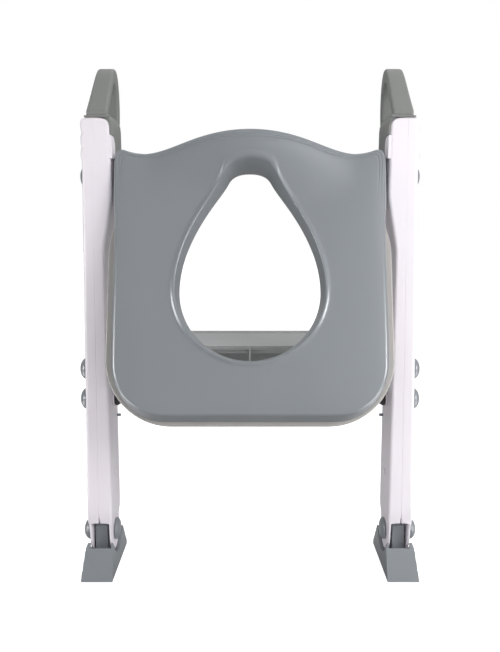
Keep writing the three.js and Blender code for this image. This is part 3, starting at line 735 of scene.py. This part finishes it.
def make_turned():
    """Everything turned about a bolt's axis: knobs, inner caps, shafts, spacers and the peg."""
    for node, name, (y, z) in KNOBS:
        x0, x1, radius = turned_box(node)
        knob = lathe(name, knob_profile(x0, x1 - x0, radius), y, z)
        settle_pair(knob, name, "frame", "grey_plastic", [node])
    for node, name, slot, (y, z) in CAPS:
        x0, x1, radius = turned_box(node)
        if node == "step_stop_cap":
            x1 += CAP_LAP
        height = x1 - x0
        profile = soften([(x1, 0), (x1, radius - 0.3, 0.2), (x1 - height * 0.3, radius, 1),
                          (x1 - height * 0.85, radius * 0.72, 2.4), (x1 - height, radius * 0.3, 1),
                          (x1 - height, 0)], steps=5, closed=False)
        settle_pair(lathe(name, profile, y, z), name, body_of(f"{node}_right"), slot, [node])
    for node, name, (y, z) in SHAFTS:
        x0, x1, radius = turned_box(node)
        profile = soften([(x0, 0), (x0, radius, 0.5), (x1, radius, 0.5), (x1, 0)],
                         steps=3, closed=False)
        shaft = lathe(name, profile, y, z, 40)
        settle_pair(shaft, name, body_of(f"{node}_right"), "steel", [node])
    for node, name, slot, (y, z), bore in SPACERS:
        x0, x1, radius = turned_box(node)
        if node == "step_stop_collar":
            x0 += CAP_LAP
        ease = min(0.6, (x1 - x0) * 0.3)
        section = soften([(x0, bore, 0.2), (x0, radius, ease), (x1, radius, ease), (x1, bore, 0.2)],
                         steps=4)
        ring = ring_lathe(name, section, y, z)
        settle_pair(ring, name, body_of(f"{node}_right"), slot, [node])
    x0, x1, radius = turned_box("bump_stop")
    profile = soften([(x0, 0), (x0, radius, 1.2), (x1, radius, 0.3), (x1, 0)], steps=5, closed=False)
    peg = lathe("peg", profile, *BUMP_STOP, 28)
    settle_pair(peg, "bump_peg", "frame", "grey_plastic", ["bump_stop"])


def turned_box(node):
    """The x range and the radius of a right-hand CAD node that is turned about a line along x."""
    low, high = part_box(f"{node}_right")
    return low.x / MM, high.x / MM, (high.z - low.z) / 2 / MM


def ring_lathe(name, section, y, z, segments=56):
    """A ring about a line along x, from a closed (x, radius) section."""
    rings = []
    for i in range(segments):
        a = 2 * math.pi * i / segments
        rings.append([(x, y + radius * math.cos(a), z + radius * math.sin(a)) for x, radius in section])
    return skin(name, rings, ends=False)


def body_of(node):
    """The CAD body that a node belongs to."""
    groups = frame["record"]["behaviour"]["bodies"]
    return next(body for body, members in groups.items() if node in members)


# ---- feet

SOLE_PAD = 3
SOLE_REAR = -15
SOLE_FRONT = 75
SHOE_TOP = 36
SHOE_RIM = 1.0
SHOE_WALL = 1.7
PLATE_TOP = 33
LEDGES = (10.5, 21, 30)
TONGUE_INNER = 156.8
TONGUE_OUTER = 169.6
TONGUE_RADIUS = 12


def make_feet():
    """The wedge shoes: a cradle for the rail's fork, with a tongue that enters it."""
    y, z = FOOT_PIVOT
    inner = shoe_low.x / MM
    outer = shoe_high.x / MM
    cradle = FORK_RADIUS + 3
    side = [(SOLE_REAR, SHOE_RIM, 0.6), (SOLE_FRONT - 3, SHOE_RIM, 1.5),
            (SOLE_FRONT - 4, SHOE_RIM + 6, 2)]
    ridges = 4
    for i in range(ridges):
        run, rise = 15.5 * i / ridges, 23 * i / ridges
        side.append((SOLE_FRONT - 6.5 - run, SHOE_RIM + 8.5 + rise, 1.2))
        side.append((SOLE_FRONT - 9.3 - run, SHOE_RIM + 12 + rise, 1.8))
    side += [(y + 28, SHOE_TOP - 4, 2.5), (y + 25, SHOE_TOP - 1.8, 1)]
    outline = soften(side, steps=3)
    outline += arc((y, z), cradle, cradle, -18, -168, 44)
    outline += [(0.3, SHOE_TOP + 2.4)]
    shoe = prism("shoe", [outline], inner, outer, "x", bevel=0.9)
    reach = FORK_RADIUS + 1.5
    pocket = [(y + reach + 2.5, z + 20), (y - reach - 2.5, z + 20), (y - reach, z)]
    pocket += arc((y, z), reach, reach, 180, 360, 40)
    combine(shoe, prism("pocket", [pocket], FORK_INNER - 1, FORK_OUTER + 1, "x"), "DIFFERENCE")
    notch = [(-40, PLATE_TOP), (-1.6, PLATE_TOP), (y - 18, PLATE_TOP - 4), (y - 18, z), (-40, z)]
    combine(shoe, prism("notch", [notch], FORK_INNER - 0.4, FORK_OUTER + 0.6, "x"), "DIFFERENCE")
    rear, front, ceiling = SOLE_REAR + SHOE_WALL, SOLE_FRONT - 3 - SHOE_WALL, SOLE_PAD + GAP
    hollow = [(rear, -5), (front, -5), (front, ceiling), (rear, ceiling)]
    combine(shoe, prism("hollow", [hollow], inner + SHOE_WALL, outer - SHOE_WALL, "x"), "DIFFERENCE")
    head = z + 10.5
    tongue_outline = soften([
        (y - 18, SOLE_PAD + 2, 0.2), (y + 18, SOLE_PAD + 2, 0.2), (y + TONGUE_RADIUS, z - 6, 6),
        (y + TONGUE_RADIUS, head, 5), (y - TONGUE_RADIUS, head, 5), (y - TONGUE_RADIUS, z - 6, 6)],
        steps=3)
    tongue = prism("tongue", [tongue_outline], TONGUE_INNER, TONGUE_OUTER, "x", bevel=0.5)
    combine(shoe, tongue, "UNION")
    for ledge in LEDGES:
        slice_level(shoe, ledge - 0.5)
        slice_level(shoe, ledge + 0.5)
    slice_level(shoe, PLATE_TOP + 0.2)

    def flare(point):
        share = min(max((point.x - TONGUE_OUTER) / (outer - TONGUE_OUTER), 0), 1)
        ear = max(point.z - PLATE_TOP - 0.2, 0) * smoothstep((y - 10 - point.y) / 6)
        height = min(max((point.z - SHOE_RIM) / (SHOE_TOP - SHOE_RIM), 0), 1)
        steps = sum(smoothstep(point.z - ledge + 0.5) for ledge in LEDGES)
        inward = share * (2.6 * height + 0.45 * steps + 0.35 * ear)
        outward = 0.3 * ear if point.x < inner + 1 else 0
        return point.x - inward + outward, point.y, point.z

    move_points(shoe, flare)
    settle_pair(shoe, "foot_wedge", "foot_{side}", "grey_plastic", ["foot_shoe"])
    make_sole()


def slice_level(piece, z):
    """Adds points all round a piece at one height."""
    shape = bmesh.new()
    shape.from_mesh(piece.data)
    bmesh.ops.triangulate(shape, faces=shape.faces[:])
    bmesh.ops.bisect_plane(shape, geom=shape.verts[:] + shape.edges[:] + shape.faces[:], dist=1e-6,
                           plane_co=RAIL_SPACE @ Vector((0, 0, z)), plane_no=(0, 0, 1))
    shape.to_mesh(piece.data)
    shape.free()


def make_sole():
    """The rubber pad under a foot, set in the shoe's rim, with cross grooves in its underside."""
    low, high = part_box("foot_sole_pad_right")
    x0, x1 = low.x / MM + 2, high.x / MM - 2
    rear, front = SOLE_REAR + 2.2, SOLE_FRONT - 5.2
    outline = soften([(x0, rear, 2), (x1, rear, 2), (x1, front, 3), (x0, front, 3)], steps=4)
    pad = prism("sole", [outline], 0, SOLE_PAD, "z", bevel=0.5, segments=2)
    for i in range(9):
        y = SOLE_REAR + 9 + 9 * i
        section = [(y - 0.9, -1), (y + 0.9, -1), (y + 0.5, 0.9), (y - 0.5, 0.9)]
        groove = prism("groove", [section], x0 - 5, x1 + 5, "x")
        combine(pad, groove, "DIFFERENCE")
    settle_pair(pad, "foot_rubber_sole", "foot_{side}", "rubber", ["foot_sole_pad"])


# ---- toilet seat


def opening_path():
    """The teardrop opening at the underside: a narrow tip, swelling flanks, a round rear."""
    points = [(0, -6.2)]
    points += bezier((0, -6.2), (11, -6.2), (17, -9.5), (20.3, -16), steps=24)
    points += bezier((20.3, -16), (23.8, -23), (30, -31), (37.5, -42), steps=20)
    reach, y = OPENING_WIDEST
    points += bezier((37.5, -42), (53, -65), (reach, -95), (reach, y), steps=40)
    points += arc((0, y), reach, 67, 0, -90, 60)
    return Path(points)


def seat_front(w):
    """The front edge: a raised middle and small round shoulders."""
    points = [(0, 23)]
    points += bezier((0, 23), (52, 23), (72, 8.5), (102, 8), steps=40)
    points += bezier((102, 8), (w - 19, 8.5), (w - 11, 12), steps=16)
    points += bezier((w - 11, 12), (w - 3, 15), (w, 10), (w, -4), steps=20)
    return points


def seat_back(start, w, rear, corner):
    """The straight side, the round rear corner and the rear edge."""
    points = bezier(start, (w, corner - rear), steps=60)
    points += arc((w - corner, corner - rear), corner, corner, 0, -90, 40)
    return points + bezier((w - corner, -rear), (0, -rear), steps=30)


def shell_path():
    """The shell is a little wider between the hinge housings than behind them."""
    front, w = SEAT_FRONT_HALF_WIDTH, SEAT_HALF_WIDTH
    points = seat_front(front) + [(front, -34)]
    points += bezier((front, -34), (front, -46), (w, -52), (w, -64), steps=16)
    return Path(points + seat_back((w, -64), w, SEAT_REAR, SEAT_CORNER))


def base_path():
    """The base plate fits between the hinge housings at the front and is wider behind them."""
    points = seat_front(BASE_NARROW) + [(BASE_NARROW, -38)]
    points += bezier((BASE_NARROW, -38), (BASE_NARROW, -62), (BASE_WIDE, -66), (BASE_WIDE, -90),
                     steps=20)
    return Path(points + seat_back((BASE_WIDE, -90), BASE_WIDE, BASE_REAR, BASE_CORNER))


OPENING = opening_path()
SHELL_OUTLINE = shell_path()
BASE_OUTLINE = base_path()
# which share of the opening faces which share of the outer edge: (column, opening, edge)
PAIRING = [(0, 0, 0), (0.14, 0.08, 0.13), (0.36, 0.38, 0.32), (0.6, 0.6, 0.55), (0.8, 0.8, 0.8),
           (1, 1, 1)]


def columns(outline, half_count):
    """Matching places round the opening and an outline, right side then left."""
    result = []
    for i in range(2 * half_count):
        turn = i / half_count
        right = turn <= 1
        t = turn if right else 2 - turn
        share_in = interpolate([(a, b) for a, b, _ in PAIRING], t)
        share_out = interpolate([(a, c) for a, _, c in PAIRING], t)
        flip = 1 if right else -1
        hole, hole_normal = OPENING.place(share_in)
        edge, edge_normal = outline.place(share_out)
        mirror = Vector((flip, 1))
        result.append((hole * mirror, hole_normal * mirror, edge * mirror, edge_normal * mirror,
                       share_in, share_out))
    return result


def guard_rise(x, y):
    """Height of the splash guard's swell above the sitting face."""
    if abs(x) >= GUARD_SPAN:
        return 0.0
    across = math.cos(math.pi / 2 * x / GUARD_SPAN) ** GUARD_SHARPNESS
    return GUARD_HEIGHT * across * smoothstep((45 + y) / 60)


def face_height(point, from_hole, from_edge, front, bead):
    """The sitting face: the guard's swell, a bead round the opening and a roll-off at the edge.
    At the front edge two shallow lines follow the rim."""
    height = SEAT_TOP + guard_rise(point.x, point.y)
    height += BEAD_HEIGHT * bead * math.exp(-(from_hole / BEAD_WIDTH) ** 2)
    height -= 1.2 * math.exp(-from_edge / 9)
    for line in FRONT_LINES:
        height -= 0.5 * front * math.exp(-((from_edge - line) / 0.7) ** 2)
    return height


def seat_shell_column(column):
    """One section of the shell: opening wall, fillet, sitting face, outer skirt and inside."""
    hole, hole_normal, edge, edge_normal, share_in, share_out = column
    bottom = SEAT_TOP - SEAT_SKIRT
    tip = 1 - smoothstep((share_in - 0.03) / 0.09)
    hole_draft = 3.0 - 2.0 * tip
    rim_radius = 1.6 + 5.9 * tip
    front = 1 - smoothstep((share_out - 0.27) / 0.1)
    rear = smoothstep((share_out - 0.6) / 0.22)
    draft = 2 * REAR_DRAFT * rear
    edge = edge + edge_normal * REAR_DRAFT * rear
    edge_radius = 5.8 - 3.0 * front - 1.6 * rear
    rows = []

    def add(point, height):
        rows.append((point.x, point.y, height))

    def wall(height):
        return hole + hole_normal * hole_draft * (height - bottom + 4) / 24

    face_start = wall(SEAT_TOP) + hole_normal * rim_radius
    skirt_angle = math.atan2(draft, SEAT_SKIRT - edge_radius)
    turned = math.radians(90) - skirt_angle
    face_end = edge - edge_normal * (draft + edge_radius * math.sin(turned))
    reach = (face_end - face_start).length

    def height_at(point, along):
        return face_height(point, along, reach - along, front, 1 - tip)

    start_height = height_at(face_start, 0)
    end_height = height_at(face_end, reach)
    fillet_low = start_height - rim_radius
    for i in range(7):
        height = bottom + (fillet_low - bottom) * i / 6
        add(wall(height), height)
    corner = wall(fillet_low)
    for i in range(1, 7):
        turn = math.radians(90 * i / 6)
        share = 1 - math.cos(turn)
        add(corner.lerp(face_start, share), fillet_low + rim_radius * math.sin(turn))
    near_hole = [0.5, 1.0, 1.6, 2.2, 3.0, 4.0, 5.5, 7.5]
    near_edge = [12.0, 9.0, 7.2, 6.4, 5.9, 5.4, 4.9, 4.4, 3.5, 2.8, 2.4, 2.0, 1.6, 1.1, 0.5]
    middle_rows = 16
    span = reach - near_hole[-1] - near_edge[0]
    places = near_hole + [near_hole[-1] + span * i / middle_rows for i in range(1, middle_rows)]
    places += [reach - distance for distance in near_edge]
    for along in places:
        point = face_start.lerp(face_end, along / reach)
        add(point, height_at(point, along))
    add(face_end, end_height)
    for i in range(1, 9):
        turn = turned * i / 8
        add(face_end + edge_normal * edge_radius * math.sin(turn),
            end_height - edge_radius * (1 - math.cos(turn)))
    wall_top = rows[-1][2]
    for i in range(1, 5):
        height = wall_top + (bottom + 0.5 - wall_top) * i / 4
        add(edge - edge_normal * (draft * (1 - i / 4)), height)
    add(edge - edge_normal * 0.5, bottom)
    inside = 2.6
    ceiling = SEAT_TOP - 4
    add(edge - edge_normal * inside, bottom)
    add(edge - edge_normal * (draft * 0.9 + inside), ceiling)
    add(wall(ceiling) + hole_normal * inside, ceiling)
    add(wall(bottom) + hole_normal * inside, bottom)
    return rows


def base_column(column):
    """The base plate: a flange that stands out below the skirt, with rounded edges."""
    hole, hole_normal, edge, edge_normal, _, _ = column
    top = SEAT_TOP - SEAT_SKIRT - GAP
    bottom = top - BASE_THICKNESS
    inner = hole + hole_normal * 1.2
    rows = []

    def turn_edge(point, normal, ease, height, upwards):
        """A quarter round between an upright edge and a level face."""
        for i in range(6):
            turn = math.radians(90 * i / 5)
            if upwards:
                into, drop = 1 - math.cos(turn), 1 - math.sin(turn)
            else:
                into, drop = 1 - math.sin(turn), 1 - math.cos(turn)
            place = point - normal * ease * into
            rows.append((place.x, place.y, height + ease * drop * (-1 if height == top else 1)))

    turn_edge(inner, -hole_normal, 0.8, bottom, False)
    turn_edge(inner, -hole_normal, 0.8, top, True)
    turn_edge(edge, edge_normal, 1.4, top, False)
    turn_edge(edge, edge_normal, 1.4, bottom, True)
    for share in (0.25, 0.5, 0.75):
        point = edge.lerp(inner, share)
        rows.append((point.x, point.y, bottom))
    return rows


def make_seat():
    """The seat's shell and base plate, with their screws and the pads underneath."""
    rings = [seat_shell_column(place) for place in columns(SHELL_OUTLINE, COLUMNS)]
    shell = skin("shell", rings, SEAT_SPACE, ends=False)
    settle(shell, "seat_shell", "seat", "grey_plastic", ["seat_top_shell"], 50)
    rings = [base_column(place) for place in columns(BASE_OUTLINE, COLUMNS)]
    base = skin("base", rings, SEAT_SPACE, ends=False)
    make_hinge_lugs(base)
    settle(base, "seat_base_plate", "seat", "grey_plastic", ["seat_base"])
    base.data.materials[0] = PALE_PLASTIC
    for i in range(1, 5):
        make_seat_screw(f"seat_screw_{i}", f"seat_fixing_screw_{i}")
        make_seat_pad(f"seat_pad_{i}", f"seat_anti_slip_pad_{i}")


def make_hinge_lugs(base):
    """A bored cheek on each side of the base plate, about the hinge bolt."""
    top = SEAT_TOP - SEAT_SKIRT - GAP - 1
    lug = [(12, top), (-52, top), (-14, -6)] + arc((0, 0), 15, 15, 203, 360, 24)
    for x0, x1 in ((128.5, 133.8), (-133.8, -128.5)):
        cheek = prism("lug", [lug, circle((0, 0), HINGE_BORE)], x0, x1, "x", SEAT_SPACE, bevel=0.9)
        combine(base, cheek, "UNION")


def seat_place(node):
    """The middle and the height range of a seat node in seat space."""
    back = SEAT_SPACE.inverted()
    points = [back @ vertex.co for vertex in frame["nodes"][node].data.vertices]
    xs = [point.x for point in points]
    ys = [point.y for point in points]
    zs = [point.z for point in points]
    return (min(xs) + max(xs)) / 2, (min(ys) + max(ys)) / 2, min(zs), max(zs)


def make_seat_screw(node, name):
    """A screw with a sunk head, through the base plate into the shell."""
    x, y, low, high = seat_place(node)
    profile = soften([(low + 1.1, 0), (low + 1.1, 1.6, 0.2), (low, 2.0, 0.3), (low, 3.8, 0.7),
                      (low + 2, 3.8, 0.2), (low + 2, 1.6, 0.2), (high, 1.6, 0.4), (high, 0)],
                     steps=3, closed=False)
    rings = [[(u, v, height) for u, v in circle((x, y), max(radius, 1e-3))]
             for height, radius in profile]
    settle(skin(name, rings, SEAT_SPACE), name, "seat", "steel", [node])


def make_seat_pad(node, name):
    """A rubber pad with round ends and two grooves, which rests on the toilet's rim."""
    x, y, low, high = seat_place(node)
    half_width, half_length = 9, 21
    straight = half_length - half_width
    outline = arc((x, y - straight), half_width, half_width, 180, 360, 20)
    outline += arc((x, y + straight), half_width, half_width, 0, 180, 20)
    pad = prism(name, [outline], low, high, "z", SEAT_SPACE, bevel=1.4, segments=4)
    for shift in (-6, 0, 6):
        groove = prism("groove", [[(y + shift - 1, low - 1), (y + shift + 1, low - 1),
                                   (y + shift + 0.6, low + 1.2), (y + shift - 0.6, low + 1.2)]],
                       x - 20, x + 20, "x", SEAT_SPACE)
        combine(pad, groove, "DIFFERENCE")
    settle(pad, name, "seat", "rubber", [node])


# ---- folding step

STEP_REAR = 28
STEP_NOSE = 122.8
STEP_WALL = 3.4
STEP_SKIRT = 44
STEP_CORNER = 14


def make_step():
    """The hollow step: a tread with a rear lip, ribs, grip strips and a pivot cheek on each side."""
    w = step_high.x / MM
    top = step_high.z / MM
    foot = top - STEP_SKIRT
    turn_x, turn_y = w - STEP_CORNER, STEP_NOSE - STEP_CORNER
    outline = [(-w, STEP_REAR), (w, STEP_REAR), (w, turn_y)]
    outline += arc((turn_x, turn_y), STEP_CORNER, STEP_CORNER, 0, 90, 16)
    outline += [(-turn_x, STEP_NOSE)]
    outline += arc((-turn_x, turn_y), STEP_CORNER, STEP_CORNER, 90, 180, 16)
    tread = prism("tread", [outline], foot, top, "z", bevel=2.2, segments=4)
    inside, inner_corner = w - STEP_WALL, STEP_CORNER - STEP_WALL
    cavity = [(-inside, STEP_REAR - 5), (inside, STEP_REAR - 5), (inside, turn_y)]
    cavity += arc((turn_x, turn_y), inner_corner, inner_corner, 0, 90, 12)
    cavity += arc((-turn_x, turn_y), inner_corner, inner_corner, 90, 180, 12)
    combine(tread, prism("hollow", [cavity], foot - 5, top - 4, "z"), "DIFFERENCE")
    lip = soften([(STEP_REAR + 5, top - 9, 0.4), (STEP_REAR + 7.6, top - 9, 0.4),
                  (STEP_REAR + 7.6, top - 2, 0.3), (STEP_REAR + 5, top - 2, 0.3)], steps=3)
    combine(tread, prism("lip", [lip], -w + 1, w - 1, "x"), "UNION")
    rib = [(STEP_REAR + 0.3, top - 2), (STEP_REAR + 0.3, top - 22),
           (STEP_NOSE - 2, top - 30), (STEP_NOSE - 2, top - 2)]
    for x in (-w / 2, 0, w / 2):
        combine(tread, prism("rib", [rib], x - 1.1, x + 1.1, "x", bevel=0.4, segments=2), "UNION")
    cross = [(76, top - 14), (78.2, top - 14), (78.2, top - 2), (76, top - 2)]
    combine(tread, prism("cross", [cross], -w + 1, w - 1, "x"), "UNION")
    pivot_y, pivot_z = STEP_PIVOT
    heel = STEP_STOP[0] + 9.6
    cheek = soften([(STEP_REAR, top - 1, 0.5), (pivot_y - 0.5, pivot_z + 12.5, 0.5)], closed=False)
    cheek += arc((pivot_y, pivot_z), 13, 13, 90, 270, 24)
    cheek += soften([(pivot_y + 1, pivot_z - 13, 0.5), (heel, pivot_z - 14, 3), (heel, 184, 3),
                     (48, 184, 4), (66, foot, 6), (STEP_NOSE - 14, foot, 3),
                     (STEP_NOSE - 14, top - 1, 0.5)], steps=4, closed=False)
    bore = circle((pivot_y, pivot_z), STEP_BORE)
    for x0 in (w - STEP_WALL, -w):
        plate = prism("cheek", [cheek, bore], x0, x0 + STEP_WALL, "x", bevel=0.8)
        combine(tread, plate, "UNION")
    for i in range(3):
        y = STEP_NOSE - 8 - 4.5 * i
        strip = soften([(y - 1, top - 1, 0.2), (y + 1, top - 1, 0.2), (y + 0.6, top + 0.45, 0.4),
                        (y - 0.6, top + 0.45, 0.4)], steps=3)
        combine(tread, prism("strip", [strip], -w + 14, w - 14, "x"), "UNION")
    settle(tread, "folding_step", "step", "step_plastic", ["step_tread"])


# ---- studio

CAMERA_BACK = 0.672
CAMERA_HEIGHT = 0.390
CAMERA_PITCH = 9.6
SENSOR = 36
LENS = 36.83
FILL_STRENGTH = 0.34
FLOOR_LIFT = 1.0
FLOOR_HALF = 6.0


def area_light(name, place, target, size, power, role):
    """A round soft light that gives either diffuse light only or highlights only."""
    light = bpy.data.lights.new(name, "AREA")
    light.shape = "DISK"
    light.size = size
    light.energy = power
    lamp = bpy.data.objects.new(name, light)
    lamp.visible_glossy = role != "diffuse"
    lamp.visible_diffuse = role != "gloss"
    lamp.visible_camera = False
    lamp.location = place
    lamp.rotation_euler = (Vector(target) - Vector(place)).to_track_quat("-Z", "Y").to_euler()
    bpy.context.scene.collection.objects.link(lamp)


def make_studio():
    """The world, the camera, the lights and the floor, which is pure white to the camera only."""
    scene = bpy.context.scene
    scene.view_settings.view_transform = "Standard"
    world = bpy.data.worlds.new("studio")
    world.use_nodes = True
    background = world.node_tree.nodes["Background"]
    background.inputs["Color"].default_value = (1, 1, 1, 1)
    seen = add_node(world.node_tree, "ShaderNodeLightPath").outputs["Is Camera Ray"]
    strength = ranged(world.node_tree, seen, 0, 1, FILL_STRENGTH, 1.0)
    world.node_tree.links.new(strength, background.inputs["Strength"])
    scene.world = world

    camera = bpy.data.cameras.new("camera")
    camera.sensor_width = SENSOR
    camera.lens = LENS
    camera.dof.use_dof = False
    viewpoint = bpy.data.objects.new("camera", camera)
    viewpoint.location = (0, rail_low.y - CAMERA_BACK, CAMERA_HEIGHT)
    viewpoint.rotation_euler = (math.radians(90 - CAMERA_PITCH), 0, 0)
    scene.collection.objects.link(viewpoint)
    scene.camera = viewpoint

    area_light("key", (0.8, -0.75, 0.85), (0, 0, 0.3), 0.6, 6.9, "diffuse")
    area_light("front", (-0.3, -1.7, 1.0), (0, 0, 0.3), 1.6, 4, "diffuse")
    area_light("panel", (0.8, -1.4, 0.95), (0.1, -0.05, 0.3), 1.2, 1.9, "gloss")
    area_light("top", (0, 0.5, 1.5), (0, 0, 0.2), 0.8, 10, "diffuse")
    area_light("low_front", (0.5, -1.3, 0.1), (0.05, 0, 0.1), 0.5, 2.9, "diffuse")
    for side in (-1, 1):
        area_light("floor_gloss", (side * 0.52, -0.15, 0.004), (side * 0.52, -0.15, 1),
                   0.46, 2.2, "gloss")
        area_light("side", (side * 0.95, -0.35, 0.3), (-side * 0.16, 0, 0.25),
                   0.5, 2.4, "diffuse")
        area_light("side_gloss", (side * 0.95, -0.45, 0.36), (side * 0.1, -0.05, 0.3),
                   0.4, 6.5, "gloss")

    shape = bmesh.new()
    corners = ((-1, -1), (1, -1), (1, 1), (-1, 1))
    shape.faces.new([shape.verts.new((x * FLOOR_HALF, y * FLOOR_HALF, 0)) for x, y in corners])
    floor = link_mesh("floor", shape)
    material = bpy.data.materials.new("floor")
    material.use_nodes = True
    tree = material.node_tree
    tree.nodes.clear()
    place = add_node(tree, "ShaderNodeTexCoord").outputs["Object"]
    tone = mixed(tree, noise(tree, place, 3, 2), (0.4, 0.4, 0.4, 1), (0.44, 0.44, 0.44, 1))
    seen = add_node(tree, "ShaderNodeLightPath").outputs["Is Camera Ray"]
    shader = add_node(tree, "ShaderNodeBsdfPrincipled", {
        "Base Color": tone, "Roughness": 0.9, "Specular IOR Level": 0.1,
        "Emission Color": (1, 1, 1, 1), "Emission Strength": ranged(tree, seen, 0, 1, 0, FLOOR_LIFT)})
    add_node(tree, "ShaderNodeOutputMaterial", {"Surface": shader.outputs["BSDF"]})
    floor.data.materials.append(material)


make_studio()
make_rails()
make_handles()
make_turned()
make_feet()
make_seat()
make_step()
